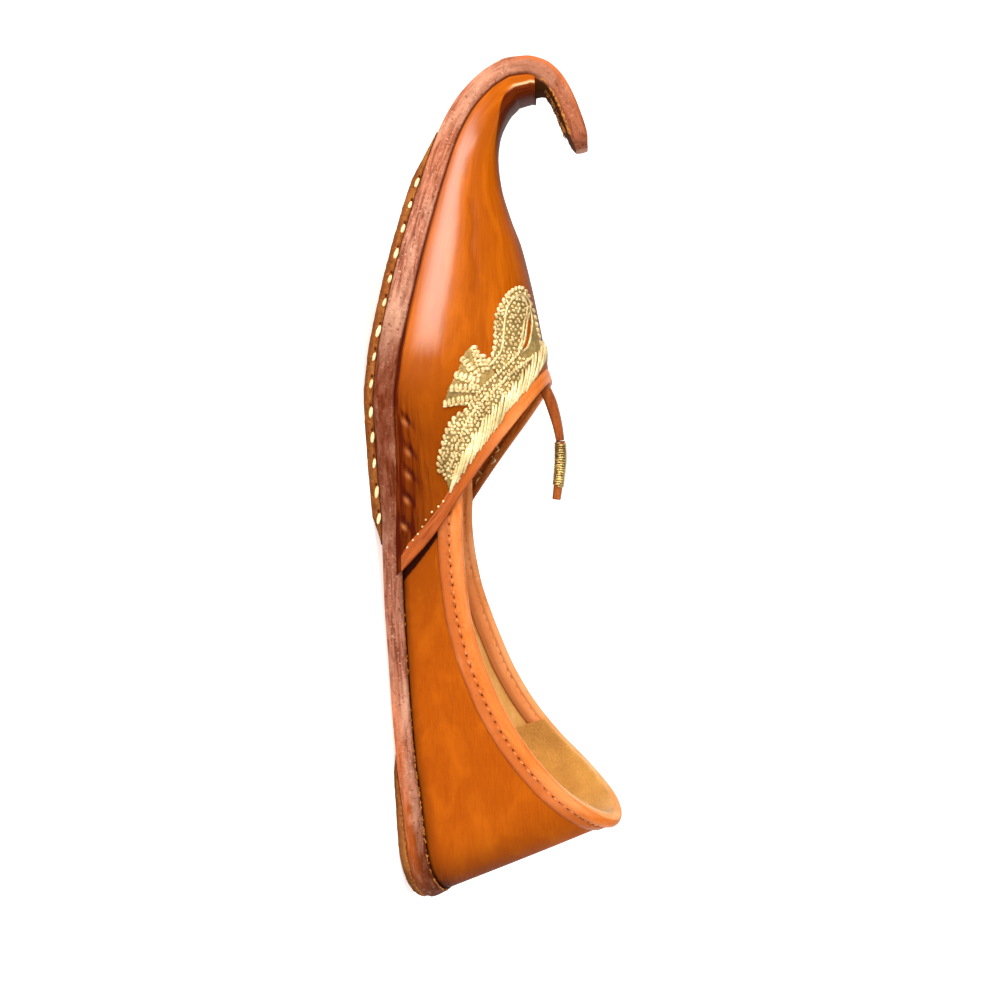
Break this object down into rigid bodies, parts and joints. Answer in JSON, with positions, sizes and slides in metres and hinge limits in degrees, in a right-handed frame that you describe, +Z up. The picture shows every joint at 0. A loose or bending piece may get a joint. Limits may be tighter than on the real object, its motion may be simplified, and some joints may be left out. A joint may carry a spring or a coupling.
{
  "type": "mojari shoe",
  "caption": "Leather slipper shoe with an upturned curled toe, embroidered slanting vamp mouth, backward tab and low collar, for either foot.",
  "frame": {"origin": "centre of the footprint's bounding box, on the floor under the sole", "axes": "+X forward to the curled toe, +Y to the wearer's left, +Z up"},
  "size_m": [0.2864, 0.084, 0.075],
  "materials": {
    "sole_leather": "cut purple-brown edge, lightly burnished",
    "half_sole_leather": "brown sole leather",
    "lining_leather": "pale yellow lining",
    "upper_leather": "vegetable-tanned tan-orange, satin",
    "binding_leather": "orange folded edge, satin",
    "gold_thread": "gold-wrapped thread"
  },
  "bodies": {
    "root": {"sole": "sole_leather", "half_sole": "half_sole_leather", "heel_lift": "half_sole_leather", "insole": "lining_leather", "upper": "upper_leather", "mouth_binding": "binding_leather", "collar_binding": "binding_leather", "tab": "upper_leather", "tab_wrap": "gold_thread"}
  },
  "joints": []
}
